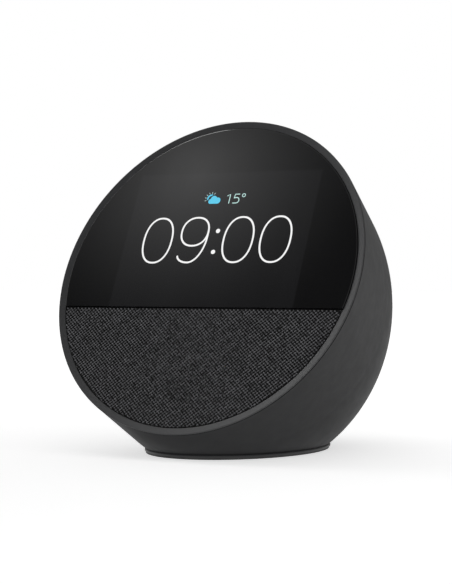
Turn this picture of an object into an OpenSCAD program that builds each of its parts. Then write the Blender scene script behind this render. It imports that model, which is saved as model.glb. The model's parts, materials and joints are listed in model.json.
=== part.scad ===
// Smart display: round leaning face on an egg-shaped housing, with its inner parts.
// Millimetres, +Z up. Origin: centre of the oval foot on the table. The face looks towards -Y.
// "w" is the height above the face plane, measured along the face's outward normal.

/* [Face] */
// Outer diameter of the round face
face_dia = 113; // [112:0.5:114]
// Backward lean of the face from vertical, in degrees
face_lean = 25; // [24.5:0.5:25.5]
// Height of the face's centre above the table
face_height = 59.6; // [59.4:0.1:60]
// Distance of the face's centre in front of the foot's centre
face_forward = 21.7; // [21.5:0.1:22]
// Width of the bezel ring's front band
band = 2.25; // [2:0.05:2.5]
// How far the line between glass and fabric lies below the face's centre
split_drop = 12.25; // [12:0.05:12.5]

/* [Body] */
// Half width of the egg form behind the face
egg_half_w = 48.3; // [48:0.1:48.6]
// Half depth of the egg form
egg_half_d = 65.3; // [65:0.1:66]
// Half height of the egg form
egg_half_h = 57.6; // [57.4:0.1:58]
// Height of the egg form's centre
egg_mid = 48.3; // [48:0.1:48.6]
// Wall thickness of the housing
wall = 2.2; // [2:0.1:2.4]

/* [Foot] */
// Half width of the oval foot
foot_half_w = 28.6; // [28.5:0.1:29]
// Half depth of the oval foot
foot_half_d = 38.5; // [38.4:0.1:39]
// Height of the housing's lower edge above the table
skirt_h = 1.5; // [1.4:0.1:1.6]
// Thickness of the rubber foot pad
pad_t = 0.7; // [0.6:0.1:0.8]

/* [Display] */
// Width of the screen module
lcd_w = 71.4; // [70:0.2:71.4]
// Lower edge of the screen module, measured up from the face's centre
lcd_low = -12; // [-12:0.1:-11]
// Upper edge of the screen module
lcd_high = 37.9; // [37:0.1:37.9]
// Thickness of the cover glass
lens_t = 1.6; // [1.4:0.1:1.6]

/* [Buttons] */
// Distance of the button row behind the foot's centre
key_y = 32; // [31.5:0.5:33]
// Sideways pitch of the three buttons
key_pitch = 15.5; // [15:0.5:16]
// Radius of a button cap
key_r = 4.8; // [4.6:0.1:4.8]
// Gap round a button cap
key_gap = 0.3; // [0.3:0.05:0.4]
// How far a cap stands above the housing
key_proud = 0.4; // [0.3:0.1:0.6]

/* [Loudspeaker] */
// Position of the loudspeaker's axis, measured up from the face's centre
cone_v = -24; // [-24:0.5:-23.5]
// Radius of the loudspeaker's frame
frame_r = 22.5; // [22:0.1:22.5]
// Radius of the voice coil's former, outside
former_r = 7.1; // [7:0.05:7.2]

/* [Power port] */
// Height of the power port on the back
port_z = 17; // [16.5:0.5:18]
// Downward lean of the port's axis, in degrees
port_lean = 20; // [18:1:22]
// Radius of the bore that the power plug's body enters
port_bore_r = 4.5; // [4.4:0.05:4.6]

/* [Hidden] */

$fn = 96;
// Reach of a cutting block, and of a cutting tool that passes through one wall
far = 200;
through = 20;
face_r = face_dia / 2;
rim_r = face_r - band;

// Face stack, as heights w above the face plane
ring_proud = 0.3;
ring_edge = -0.3;
seam = 0.35;
shell_front = ring_edge - seam;
ledge_w = -1.9;
skirt_w = -3;
ledge_r = 52.6;
skirt_r = 54.7;
lens_gap = 0.25;
lens_r = rim_r - lens_gap;
part_gap = 0.1;
fabric_back = -0.6;
lcd_back = -3.2;
backlight_back = -5.2;
baffle_front = -6.4;
baffle_back = -8.4;
baffle_r = 51.4;
rest_half = 46;
rest_h = 2;
board_front = -12.6;
board_back = -14.2;
board_low = 3;
board_r = 46;
flex_half = 8;
flex_t = 0.25;

// Grille plate's holes
hole_pitch = 4;
hole_r = 1.3;

// Screws and bosses
boss_r = 3.2;
small_boss_r = 2.6;
rib_t = 1.8;
rib_reach = 20;
pilot_r = 0.9;
shaft_r = 0.85;
clear_r = 1.1;
head_r = 2.2;
head_h = 1.4;
baffle_screw = 8;
chamber_screw = 3.8;
board_screw = 5;
bracket_screw = 3;
base_screw = 5;
button_board_screw = 4.4;
baffle_boss_r = 46;
baffle_boss_angles = [22, 158, -35, -145];
baffle_boss_deep = -24;
board_posts = [[-36, 9], [36, 9], [-24, 36], [24, 36]];
bracket_posts = [[-39, -3], [39, -3]];
chamber_posts = [[-27.8, -22], [27.8, -22], [-21, -42.5], [21, -42.5]];
base_posts = [[-16.5, -19], [16.5, -19], [-16.5, 19], [16.5, 19]];
base_post_top = 8.4;
plug_top = 3;
plug_inset = [4.6, 5.4];
lip = 0.3;
weight_size = [25, 24, 6];

// Buttons
key_z = egg_mid + egg_half_h * sqrt(1 - pow(key_y / egg_half_d, 2));
key_lean = atan2(key_y / pow(egg_half_d, 2), (key_z - egg_mid) / pow(egg_half_h, 2));
key_dome_r = 46;
key_flange_drop = 5.9;
key_stem_foot = -12;
switch_base = -15;
switch_top = -12.6;
switch_size = 6;
button_board_size = [55, 11, 1.2];
button_post_x = 24;
stem_r = 1.6;
cap_flange = 0.9;
mic_x = 7.75;
mic_hole_r = 0.6;
mic_size = [3, 3.8, 1];
mic_boot_h = 9.7;

// Power port
port_y = egg_half_d * sqrt(1 - pow((port_z - egg_mid) / egg_half_h, 2));
pocket_floor = -3.6;
trim_front = -2.9;
trim_back = -9;
trim_wall = 1.5;
pocket_r = 8;
collar_r = 7.6;
collar_post_r = 10;
jack_back = -23;
jack_size = 10;
jack_barrel_r = 3.2;
jack_floor = 3;
pin_r = 1;
pin_h = 9.5;

// Loudspeaker, as heights w about its own axis
basket_front = -8.9;
cone_rim = -10.8;
cone_rim_r = 17.2;
cone_neck = -14.9;
spider_low = -17.2;
spider_step = 0.7;
spider_t = 0.4;
basket_back = -20.5;
motor_r = 13.8;
yoke_t = 2.5;
top_plate_back = -23;
magnet_back = -29;
magnet_r = 14;
magnet_bore_r = 9;
coil_gap = 0.65;
pole_gap = 0.55;
coil_back = -23.6;
coil_h = 3.8;
cap_ball_r = 13.6;
cap_ball_w = -24.9;
cap_t = 0.3;

// Sealed chamber behind the loudspeaker
chamber_r = 25;
chamber_back = -38;
chamber_wall = 1.8;
chamber_floor = 9;
chamber_round_r = 51.2;
chamber_flange_r = 30.5;
chamber_flange_t = 2;

// Electronics: places on the main board, and sizes
chip_at = [0, 22];
chip_shield = [24, 24, 2.5];
wifi_at = [-28, 22];
wifi_shield_size = [16, 13, 2];
shield_round = 1;
pad_size = [20, 20, 0.8];
sink_w = 32;
sink_d = 26;
fin_t = 1.4;
fin_pitch = 5.1;
fin_count = 7;
fin_h = 7;
sink_plate_t = 1.5;
plug_d = 4;
plug_h = 3;
power_plug = [26, 12, 8];
speaker_plug = [-17, 6, 7];
button_plug = [26, 26, 9];
antenna_size = [0.6, 16, 9];
lead_r = 0.6;
power_lead_r = 1;

function sq(v) = v * v;
// Height of the egg surface along the key axis, below the middle button's point
function key_drop(x) =
  let (
    a = sq(sin(key_lean) / egg_half_d) + sq(cos(key_lean) / egg_half_h),
    b = 2 * (key_y * sin(key_lean) / sq(egg_half_d)
      + (key_z - egg_mid) * cos(key_lean) / sq(egg_half_h)),
    c = sq(x / egg_half_w)
  ) (sqrt(b * b - 4 * a * c) - b) / (2 * a);
function key_point(x) =
  [x, key_y + key_drop(x) * sin(key_lean), key_z + key_drop(x) * cos(key_lean)];
function egg_normal(p) =
  let (g = [p.x / sq(egg_half_w), p.y / sq(egg_half_d), (p.z - egg_mid) / sq(egg_half_h)])
    g / norm(g);
function oval(half_w, half_d) = [for (i = [0:95]) [half_w * cos(i * 3.75), half_d * sin(i * 3.75)]];
// Point (u, v, w) of the face frame in the part's frame
function face_point(u, v, w) = [
  u,
  -face_forward + v * sin(face_lean) - w * cos(face_lean),
  face_height + v * cos(face_lean) + w * sin(face_lean)
];
function bezier(p, t) =
  p[0] * pow(1 - t, 3) + 3 * p[1] * t * sq(1 - t) + 3 * p[2] * sq(t) * (1 - t) + p[3] * pow(t, 3);
function slope(p, t) =
  3 * (p[1] - p[0]) * sq(1 - t) + 6 * (p[2] - p[1]) * t * (1 - t) + 3 * (p[3] - p[2]) * sq(t);
function unit(v) = v / norm(v);

// --- Placing helpers ---

module on_face(w = 0) {
  translate([0, -face_forward, face_height])
    rotate([90 - face_lean, 0, 0])
      translate([0, 0, w])
        children();
}

// A flat sheet parallel to the face, between two heights
module face_sheet(low, high) {
  on_face(low)
    linear_extrude(high - low)
      children();
}

module on_keys(q = 0) {
  translate([0, key_y, key_z])
    rotate([-key_lean, 0, 0])
      translate([0, 0, q])
        children();
}

module on_port(s = 0) {
  translate([0, port_y, port_z])
    rotate([-90 - port_lean, 0, 0])
      translate([0, 0, s])
        children();
}

module on_speaker() {
  on_face()
    translate([0, cone_v, 0])
      children();
}

// Everything above a height, as a cutting block
module above(z) {
  translate([-far, -far, z])
    cube([2 * far, 2 * far, far]);
}

module ring(inner, outer) {
  difference() {
    circle(r = outer);
    circle(r = inner);
  }
}

// Segment of a disc above or below a straight line
module upper_part(r, line) {
  intersection() {
    circle(r = r);
    translate([-far, line])
      square([2 * far, far]);
  }
}

module lower_part(r, line) {
  intersection() {
    circle(r = r);
    translate([-far, line - far])
      square([2 * far, far]);
  }
}

module rounded_box(size, r) {
  linear_extrude(size.z)
    hull()
      for (x = [r, size.x - r], y = [r, size.y - r])
        translate([x - size.x / 2, y - size.y / 2])
          circle(r = r, $fn = 32);
}

// Screw standing on its thread's tip, head up
module screw(length) {
  cylinder(r = shaft_r, h = length);
  translate([0, 0, length])
    cylinder(r = head_r, h = head_h);
}

// Round lead that follows one cubic curve
module lead(route, r, rings = 16, sides = 8) {
  points = [
    for (i = [0:rings])
      let (
        t = i / rings,
        d = unit(slope(route, t)),
        a = unit(cross(d, [0.3, 1, 0.2])),
        b = cross(d, a)
      )
        for (k = [0:sides - 1])
          bezier(route, t) + r * (a * cos(k * 360 / sides) + b * sin(k * 360 / sides))
  ];
  walls = [
    for (i = [0:rings - 1], k = [0:sides - 1], half = [0, 1])
      let (
        n = (k + 1) % sides,
        low = i * sides,
        high = low + sides
      )
        half == 0 ? [low + k, low + n, high + n] : [low + k, high + n, high + k]
  ];
  start = [for (k = [0:sides - 1]) sides - 1 - k];
  end = [for (k = [0:sides - 1]) rings * sides + k];
  polyhedron(points, concat([start], [end], walls));
}

// --- Housing ---

// The egg form joined to the face's disc, shrunk by an inset
module body_form(inset, floor_z, front_w) {
  hull() {
    intersection() {
      translate([0, 0, egg_mid])
        scale([egg_half_w - inset, egg_half_d - inset, egg_half_h - inset])
          sphere(r = 1, $fn = 64);
      above(floor_z);
      on_face(front_w - far)
        translate([-far, -far, 0])
          cube([2 * far, 2 * far, far]);
    }
    on_face(front_w - 0.02)
      cylinder(r = face_r - inset, h = 0.02, $fn = 96);
  }
}

// Screw posts and their ribs, reaching from inside out past the wall
module shell_posts() {
  on_face(baffle_boss_deep)
    for (a = baffle_boss_angles)
      rotate(a) {
        translate([baffle_boss_r, 0, 0])
          cylinder(r = boss_r, h = baffle_back - baffle_boss_deep);
        translate([baffle_boss_r, -rib_t / 2, 0])
          cube([rib_reach, rib_t, baffle_back - baffle_boss_deep - 1]);
      }
  for (p = base_posts) {
    translate([p.x, p.y, plug_top])
      cylinder(r = boss_r, h = base_post_top - plug_top);
    translate([p.x > 0 ? p.x : p.x - rib_reach, p.y - rib_t / 2, plug_top])
      cube([rib_reach, rib_t, base_post_top - plug_top - 0.5]);
  }
  on_keys(switch_base)
    for (x = [-button_post_x, button_post_x])
      translate([x, 0, 0])
        cylinder(r = small_boss_r, h = through);
  on_port(-17)
    cylinder(r = collar_post_r, h = 25);
}

module shell_pilots() {
  on_face(baffle_boss_deep + 8)
    for (a = baffle_boss_angles)
      rotate(a)
        translate([baffle_boss_r, 0, 0])
          cylinder(r = pilot_r, h = through);
  for (p = base_posts)
    translate([p.x, p.y, 0])
      cylinder(r = pilot_r, h = base_post_top - 1);
  on_keys(switch_base - 1)
    for (x = [-button_post_x, button_post_x])
      translate([x, 0, 0])
        cylinder(r = pilot_r, h = 5);
}

module rear_shell() {
  color([0.16, 0.16, 0.17])
    difference() {
      body_form(0, skirt_h, shell_front);
      difference() {
        body_form(wall, skirt_h - 2, 2);
        shell_posts();
      }
      on_face(skirt_w - lens_gap)
        cylinder(r = skirt_r + 0.15, h = through);
      shell_pilots();
      on_keys(-12)
        for (x = [-key_pitch, 0, key_pitch])
          translate([x, 0, 0])
            cylinder(r = key_r + key_gap, h = through);
      on_keys(-12)
        for (x = [-mic_x, mic_x])
          translate([x, 0, 0])
            cylinder(r = mic_hole_r, h = through);
      on_port(pocket_floor)
        cylinder(r = pocket_r, h = through);
      on_port(trim_back - 1)
        cylinder(r = port_bore_r + trim_wall + 0.05, h = through);
      on_port(trim_back - 10)
        cylinder(r = collar_r, h = 10);
    }
}

module front_ring() {
  color([0.2, 0.2, 0.21])
    on_face()
      rotate_extrude()
        polygon([
          [face_r, ring_edge],
          [face_r, -0.05],
          [face_r - 0.1, 0.03],
          [rim_r + 0.1, ring_proud],
          [rim_r, ring_proud - 0.1],
          [rim_r, ledge_w],
          [ledge_r, ledge_w],
          [ledge_r, skirt_w],
          [skirt_r, skirt_w],
          [skirt_r, ring_edge]
        ]);
}

module base_plate() {
  color([0.25, 0.25, 0.26])
    difference() {
      union() {
        translate([0, 0, pad_t])
          linear_extrude(skirt_h - pad_t - lip)
            polygon(oval(foot_half_w, foot_half_d));
        translate([0, 0, skirt_h - lip])
          linear_extrude(lip)
            polygon(oval(foot_half_w - lip, foot_half_d - lip));
        translate([0, 0, skirt_h])
          linear_extrude(plug_top - skirt_h)
            polygon(oval(foot_half_w - plug_inset.x, foot_half_d - plug_inset.y));
      }
      for (p = base_posts) {
        translate([p.x, p.y, 0])
          cylinder(r = clear_r + 0.1, h = through);
        translate([p.x, p.y, 0])
          cylinder(r = head_r + 0.2, h = pad_t + head_h);
      }
    }
}

module foot_pad() {
  color([0.07, 0.07, 0.07])
    linear_extrude(pad_t)
      polygon(oval(foot_half_w - 0.35, foot_half_d - 0.35));
}

module base_weight() {
  color([0.5, 0.5, 0.52])
    translate([0, 15, plug_top])
      rounded_box(weight_size, 4);
}

// --- Screen ---

module display_lens() {
  color([0.05, 0.05, 0.06])
    face_sheet(-lens_t, 0)
      upper_part(lens_r, -split_drop);
}

module lens_adhesive() {
  color([0.1, 0.1, 0.1])
    face_sheet(ledge_w, -lens_t)
      intersection() {
        ring(ledge_r + 0.1, lens_r - 0.1);
        upper_part(face_r, -split_drop);
      }
}

module screen_outline(grow) {
  translate([-lcd_w / 2 - grow, lcd_low - grow])
    square([lcd_w + 2 * grow, lcd_high - lcd_low + 2 * grow]);
}

module lcd_panel() {
  color([0.03, 0.03, 0.04])
    face_sheet(lcd_back, -lens_t)
      screen_outline(0);
}

module backlight() {
  color([0.9, 0.9, 0.88])
    face_sheet(backlight_back, lcd_back)
      screen_outline(-0.4);
}

module lcd_bracket() {
  color([0.7, 0.7, 0.72])
    face_sheet(baffle_front, backlight_back)
      difference() {
        union() {
          screen_outline(-0.3);
          for (p = bracket_posts)
            translate([p.x, p.y])
              square([11, 8], center = true);
        }
        for (p = bracket_posts)
          translate([p.x, p.y])
            circle(r = clear_r, $fn = 32);
      }
}

module display_flex() {
  color([0.75, 0.45, 0.1])
    face_sheet(board_front + 1.4, -2.2)
      translate([-flex_half, lcd_high])
        square([2 * flex_half, flex_t]);
}

// --- Chassis and grille ---

module front_baffle() {
  color([0.12, 0.12, 0.13])
    difference() {
      union() {
        face_sheet(baffle_back, baffle_front)
          circle(r = baffle_r);
        face_sheet(baffle_front, -lens_t)
          translate([-rest_half, -split_drop - 0.4 - rest_h])
            square([2 * rest_half, rest_h]);
        face_sheet(board_front, baffle_back)
          for (p = board_posts)
            translate(p)
              circle(r = small_boss_r, $fn = 48);
      }
      face_sheet(baffle_back - 1, baffle_front + 0.5)
        intersection() {
          translate([0, cone_v])
            circle(r = 19.5);
          lower_part(face_r, -split_drop - 0.6 - rest_h);
        }
      face_sheet(baffle_back - 1, 0)
        translate([-flex_half - 1, lcd_high - 0.4])
          square([2 * flex_half + 2, 2]);
      face_sheet(baffle_back - 1, 0)
        for (a = baffle_boss_angles)
          rotate(a)
            translate([baffle_boss_r, 0])
              circle(r = clear_r + 0.1, $fn = 32);
      face_sheet(board_front - 1, baffle_back + 1)
        for (p = board_posts)
          translate(p)
            circle(r = pilot_r, $fn = 32);
      face_sheet(baffle_back - 1, 0)
        for (p = bracket_posts)
          translate(p)
            circle(r = pilot_r, $fn = 32);
      face_sheet(baffle_back - 1, 0)
        for (p = chamber_posts)
          translate(p)
            circle(r = pilot_r, $fn = 32);
    }
}

// Rows of round holes, each row shifted half a pitch
module hole_field() {
  row_step = hole_pitch * sin(60);
  for (j = [0:8])
    for (i = [-8:8])
      let (
        x = (i + (j % 2) / 2) * hole_pitch,
        y = -split_drop - 3.4 - j * row_step
      )
        if (norm([x, y]) < ledge_r - 2.2 && norm([x, y - cone_v]) < 21)
          translate([x, y])
            circle(r = hole_r, $fn = 20);
}

module grille_plate() {
  color([0.1, 0.1, 0.1])
    face_sheet(-lens_t, fabric_back)
      difference() {
        lower_part(lens_r - part_gap, -split_drop - 0.2);
        hole_field();
      }
}

module grille_fabric() {
  color([0.19, 0.19, 0.2])
    face_sheet(fabric_back, -part_gap)
      lower_part(lens_r, -split_drop - 0.2);
}

module grille_adhesive() {
  color([0.1, 0.1, 0.1])
    face_sheet(ledge_w, -lens_t)
      intersection() {
        ring(ledge_r + 0.1, lens_r - 0.2);
        lower_part(face_r, -split_drop - 0.3);
      }
}

// --- Loudspeaker, as profiles of radius and height w about its axis ---

module speaker_basket() {
  color([0.3, 0.3, 0.32])
    on_speaker()
      difference() {
        rotate_extrude()
          polygon([
            [20.6, basket_front], [frame_r, basket_front], [frame_r, basket_front - 1.5],
            [21.6, basket_front - 1.5], [17.8, -16], [17.8, -18], [14.5, basket_back],
            [8, basket_back], [8, basket_back + 1], [13.4, basket_back + 1], [15.4, -18],
            [13.4, -18], [13.4, spider_low], [16.4, spider_low], [16.4, -16],
            [19.6, cone_rim - 0.4], [19.6, cone_rim], [20.6, cone_rim]
          ]);
        for (a = [45:90:315])
          rotate(a)
            translate([18.5, 0, -13.4])
              cube([9, 12, 4], center = true);
      }
}

module speaker_gasket() {
  color([0.1, 0.1, 0.1])
    on_speaker()
      translate([0, 0, basket_front])
        linear_extrude(baffle_back - basket_front)
          ring(20.2, frame_r - 0.2);
}

module speaker_top_plate() {
  color([0.7, 0.7, 0.7])
    on_speaker()
      translate([0, 0, top_plate_back])
        linear_extrude(basket_back - top_plate_back)
          ring(former_r + coil_gap, motor_r);
}

module speaker_magnet() {
  color([0.25, 0.25, 0.26])
    on_speaker()
      translate([0, 0, magnet_back])
        linear_extrude(top_plate_back - magnet_back)
          ring(magnet_bore_r, magnet_r);
}

module speaker_yoke() {
  color([0.7, 0.7, 0.7])
    on_speaker() {
      translate([0, 0, magnet_back - yoke_t])
        cylinder(r = motor_r, h = yoke_t);
      translate([0, 0, magnet_back - 0.5])
        cylinder(r = former_r - pole_gap, h = basket_back - magnet_back + 0.5);
    }
}

module speaker_surround() {
  color([0.08, 0.08, 0.08])
    on_speaker()
      rotate_extrude() {
        translate([18.45, cone_rim])
          difference() {
            circle(r = 1.35, $fn = 48);
            circle(r = 0.95, $fn = 48);
            translate([-2, -4])
              square([4, 4]);
          }
        translate([16.3, cone_rim])
          square([1, 0.4]);
        translate([19.6, cone_rim])
          square([1, 0.4]);
      }
}

// Rolled ring: folds between its inner and outer flats, alternately up and down
module speaker_spider() {
  low = spider_low;
  fold = spider_low + spider_step;
  color([0.8, 0.6, 0.2])
    on_speaker()
      rotate_extrude()
        polygon([
          [former_r + 0.05, low], [8.4, low], [9.4, fold], [10.4, low], [11.4, fold],
          [12.4, low], [14.6, low], [14.6, low + spider_t], [12.6, low + spider_t],
          [11.4, fold + spider_t], [10.4, low + spider_t], [9.4, fold + spider_t],
          [8.2, low + spider_t], [former_r + 0.05, low + spider_t]
        ]);
}

module speaker_cone() {
  color([0.12, 0.12, 0.12])
    on_speaker()
      rotate_extrude()
        polygon([
          [former_r, cone_neck], [former_r + 0.4, cone_neck], [cone_rim_r - 0.3, cone_rim - 0.4],
          [cone_rim_r, cone_rim - 0.4], [cone_rim_r, cone_rim], [cone_rim_r - 0.6, cone_rim],
          [former_r, cone_neck + 0.5]
        ]);
}

module dust_cap() {
  color([0.1, 0.1, 0.1])
    on_speaker()
      rotate_extrude()
        intersection() {
          translate([0, cap_ball_w])
            ring(cap_ball_r - cap_t, cap_ball_r);
          translate([0, -13.6])
            square([8, 5]);
        }
}

module coil_former() {
  color([0.75, 0.55, 0.2])
    on_speaker()
      translate([0, 0, coil_back - 0.4])
        linear_extrude(cone_neck + 1.2 - coil_back + 0.4)
          ring(former_r - 0.2, former_r);
}

module voice_coil() {
  color([0.75, 0.4, 0.2])
    on_speaker()
      translate([0, 0, coil_back])
        linear_extrude(coil_h)
          ring(former_r, former_r + 0.3);
}

// Round box behind the baffle, kept inside the housing, its clipped sides moved in by an inset
module chamber_form(r, low, high, inset) {
  intersection() {
    on_speaker()
      translate([0, 0, low])
        cylinder(r = r, h = high - low);
    on_face(low - 1)
      cylinder(r = chamber_round_r - inset, h = high - low + 2);
    above(chamber_floor + inset);
  }
}

module speaker_chamber() {
  color([0.14, 0.14, 0.15])
    difference() {
      union() {
        chamber_form(chamber_r, chamber_back, baffle_back, 0);
        chamber_form(chamber_flange_r, baffle_back - chamber_flange_t, baffle_back, 0);
      }
      chamber_form(chamber_r - chamber_wall, chamber_back + chamber_wall, baffle_back + 1, 1.6);
      on_face(baffle_back - 3)
        for (p = chamber_posts)
          translate(p)
            cylinder(r = clear_r, h = 4, $fn = 32);
      on_face(-30)
        translate([0, cone_v + 24, -1.2])
          rotate([90, 0, 0])
            cylinder(r = 1.2, h = 3, center = true, $fn = 32);
    }
}

// --- Electronics ---

module main_board() {
  color([0.05, 0.25, 0.12])
    face_sheet(board_back, board_front)
      difference() {
        upper_part(board_r, board_low);
        for (p = board_posts)
          translate(p)
            circle(r = clear_r, $fn = 32);
        for (a = baffle_boss_angles)
          rotate(a)
            translate([baffle_boss_r, 0])
              circle(r = boss_r + 0.6);
      }
}

module soc_shield() {
  color([0.75, 0.75, 0.77])
    on_face(board_back - chip_shield.z)
      translate(chip_at)
        rounded_box(chip_shield, shield_round);
}

module wifi_shield() {
  color([0.75, 0.75, 0.77])
    on_face(board_back - wifi_shield_size.z)
      translate(wifi_at)
        rounded_box(wifi_shield_size, shield_round);
}

module thermal_pad() {
  color([0.6, 0.65, 0.75])
    on_face(board_back - chip_shield.z - pad_size.z)
      translate([chip_at.x - pad_size.x / 2, chip_at.y - pad_size.y / 2, 0])
        cube(pad_size);
}

module heat_sink() {
  color([0.6, 0.6, 0.62])
    on_face(board_back - chip_shield.z - pad_size.z - sink_plate_t)
      translate([chip_at.x - sink_w / 2, chip_at.y - sink_d / 2, 0]) {
        cube([sink_w, sink_d, sink_plate_t]);
        for (i = [0:fin_count - 1])
          translate([i * fin_pitch, 0, 0.8 - fin_h])
            cube([fin_t, sink_d, fin_h]);
      }
}

module board_connectors() {
  color([0.85, 0.83, 0.78]) {
    on_face(board_back - plug_h)
      for (p = [power_plug, speaker_plug, button_plug])
        translate([p.x - p.z / 2, p.y - plug_d / 2, 0])
          cube([p.z, plug_d, plug_h]);
    on_face(board_front)
      translate([-flex_half - 1, lcd_high - plug_d / 2, 0])
        cube([2 * flex_half + 2, plug_d, 1.4]);
  }
}

module wifi_antenna() {
  color([0.1, 0.1, 0.1])
    on_face(board_back - antenna_size.z)
      translate([-37.5, 12, 0])
        cube(antenna_size);
}

module button_board() {
  color([0.05, 0.25, 0.12])
    on_keys(switch_base - button_board_size.z)
      difference() {
        translate([-button_board_size.x / 2, -button_board_size.y / 2, 0])
          cube(button_board_size);
        for (x = [-button_post_x, button_post_x])
          translate([x, 0, -1])
            cylinder(r = clear_r, h = 4, $fn = 32);
      }
}

module key_switches() {
  color([0.15, 0.15, 0.15])
    on_keys(switch_base)
      for (x = [-key_pitch, 0, key_pitch])
        translate([x, 0, 0])
          difference() {
            translate([-switch_size / 2, -switch_size / 2, 0])
              cube([switch_size, switch_size, switch_top - switch_base]);
            translate([0, 0, 0.2])
              cylinder(r = 1.85, h = 5, $fn = 48);
          }
}

module microphones() {
  color([0.8, 0.7, 0.4])
    on_keys(switch_base)
      for (x = [-mic_x, mic_x])
        translate([x - mic_size.x / 2, -mic_size.y / 2, 0])
          cube(mic_size);
}

module mic_boots() {
  color([0.08, 0.08, 0.08])
    on_keys(switch_base + mic_size.z)
      for (x = [-mic_x, mic_x])
        translate([x, 0, 0])
          linear_extrude(mic_boot_h)
            ring(mic_hole_r + 0.1, mic_size.x / 2);
}

// --- Buttons: cap, retaining flange and stem, travelling along the key axis ---

module button(x) {
  point = key_point(x);
  out = egg_normal(point);
  drop = key_drop(x);
  color([0.14, 0.14, 0.15])
    union() {
      intersection() {
        on_keys(drop - key_flange_drop)
          translate([x, 0, 0])
            cylinder(r = key_r, h = key_flange_drop + 6);
        translate(point + out * (key_proud - key_dome_r))
          sphere(r = key_dome_r);
      }
      on_keys(drop - key_flange_drop - 1)
        translate([x, 0, 0])
          cylinder(r = key_r + cap_flange, h = 1.2);
      on_keys(key_stem_foot)
        translate([x, 0, 0])
          cylinder(r = stem_r, h = drop - key_flange_drop - key_stem_foot);
    }
}

module plunger(x) {
  color([0.85, 0.85, 0.85])
    on_keys(switch_base + 1)
      translate([x, 0, 0])
        cylinder(r = stem_r - 0.05, h = key_stem_foot - switch_base - 1);
}

module volume_down_button() { button(key_pitch); }
module mute_button() { button(0); }
module volume_up_button() { button(-key_pitch); }
module volume_down_plunger() { plunger(key_pitch); }
module mute_plunger() { plunger(0); }
module volume_up_plunger() { plunger(-key_pitch); }

// --- Power port ---

module dc_jack() {
  color([0.08, 0.08, 0.08])
    on_port(jack_back)
      difference() {
        translate([-jack_size / 2, -jack_size / 2, 0])
          cube([jack_size, jack_size, trim_back - jack_back]);
        translate([0, 0, jack_floor])
          cylinder(r = jack_barrel_r, h = through, $fn = 48);
      }
}

module dc_jack_pin() {
  color([0.85, 0.75, 0.4])
    on_port(jack_back + jack_floor)
      cylinder(r = pin_r, h = pin_h, $fn = 48);
}

module port_trim() {
  color([0.1, 0.1, 0.1])
    on_port()
      difference() {
        union() {
          translate([0, 0, trim_back])
            cylinder(r = port_bore_r + trim_wall, h = trim_front - trim_back - 0.2);
          translate([0, 0, pocket_floor])
            cylinder(r = port_bore_r + trim_wall + 1, h = trim_front - pocket_floor);
        }
        translate([0, 0, trim_back - 1])
          cylinder(r = port_bore_r, h = trim_front - trim_back + 2);
      }
}

// --- Fasteners ---

module baffle_screws() {
  color([0.6, 0.6, 0.6])
    on_face(baffle_front - baffle_screw)
      for (a = baffle_boss_angles)
        rotate(a)
          translate([baffle_boss_r, 0, 0])
            screw(baffle_screw);
}

module chamber_screws() {
  color([0.6, 0.6, 0.6])
    on_face(baffle_front - 0.2)
      for (p = chamber_posts)
        translate(p)
          mirror([0, 0, 1])
            screw(chamber_screw);
}

module board_screws() {
  color([0.6, 0.6, 0.6])
    on_face(board_back + board_screw)
      for (p = board_posts)
        translate(p)
          mirror([0, 0, 1])
            screw(board_screw);
}

module bracket_screws() {
  color([0.6, 0.6, 0.6])
    on_face(backlight_back - bracket_screw)
      for (p = bracket_posts)
        translate(p)
          screw(bracket_screw);
}

module base_screws() {
  color([0.6, 0.6, 0.6])
    for (p = base_posts)
      translate([p.x, p.y, pad_t + head_h + base_screw])
        mirror([0, 0, 1])
          screw(base_screw);
}

module button_board_screws() {
  color([0.6, 0.6, 0.6])
    on_keys(switch_base - button_board_size.z + button_board_screw)
      for (x = [-button_post_x, button_post_x])
        translate([x, 0, 0])
          mirror([0, 0, 1])
            screw(button_board_screw);
}

// --- Inner leads, each from its part to just behind its plug on the main board ---

function plug_end(plug) = face_point(plug.x, plug.y, board_back - plug_h - 0.1);

module power_lead() {
  start = [0, port_y + (jack_back - 0.1) * cos(port_lean), port_z - (jack_back - 0.1) * sin(port_lean)];
  end = plug_end(power_plug);
  color([0.1, 0.1, 0.1])
    lead([start, start + [0, -12, 6], end + [0, 24, -10], end], power_lead_r);
}

module speaker_lead() {
  start = face_point(0, cone_v + 26.2, -31.2);
  end = plug_end(speaker_plug);
  color([0.5, 0.1, 0.1])
    lead([start, start + [-2, 5, 8], end + [0, 12, -3], end], lead_r);
}

module button_lead() {
  start = [18, key_y - 16.6 * sin(key_lean), key_z - 17 * cos(key_lean)];
  end = plug_end(button_plug);
  color([0.1, 0.1, 0.1])
    lead([start, start + [0, -4, -8], end + [0, 8, -3], end], lead_r);
}

rear_shell();
front_ring();
display_lens();
lens_adhesive();
lcd_panel();
backlight();
lcd_bracket();
display_flex();
front_baffle();
grille_plate();
grille_fabric();
grille_adhesive();
speaker_basket();
speaker_gasket();
speaker_top_plate();
speaker_magnet();
speaker_yoke();
speaker_surround();
speaker_spider();
speaker_chamber();
main_board();
soc_shield();
wifi_shield();
thermal_pad();
heat_sink();
board_connectors();
wifi_antenna();
button_board();
key_switches();
microphones();
mic_boots();
dc_jack();
dc_jack_pin();
port_trim();
base_plate();
base_weight();
foot_pad();
baffle_screws();
chamber_screws();
board_screws();
bracket_screws();
base_screws();
button_board_screws();
power_lead();
speaker_lead();
button_lead();
volume_down_button();
mute_button();
volume_up_button();
volume_down_plunger();
mute_plunger();
volume_up_plunger();
speaker_cone();
dust_cap();
coil_former();
voice_coil();
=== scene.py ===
"""Looks of a round-faced smart display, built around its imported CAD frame. Metres, +Z up."""

import bmesh
import bpy
import json
import math
import numpy as np
from mathutils import Matrix, Vector
from mathutils.bvhtree import BVHTree


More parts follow.
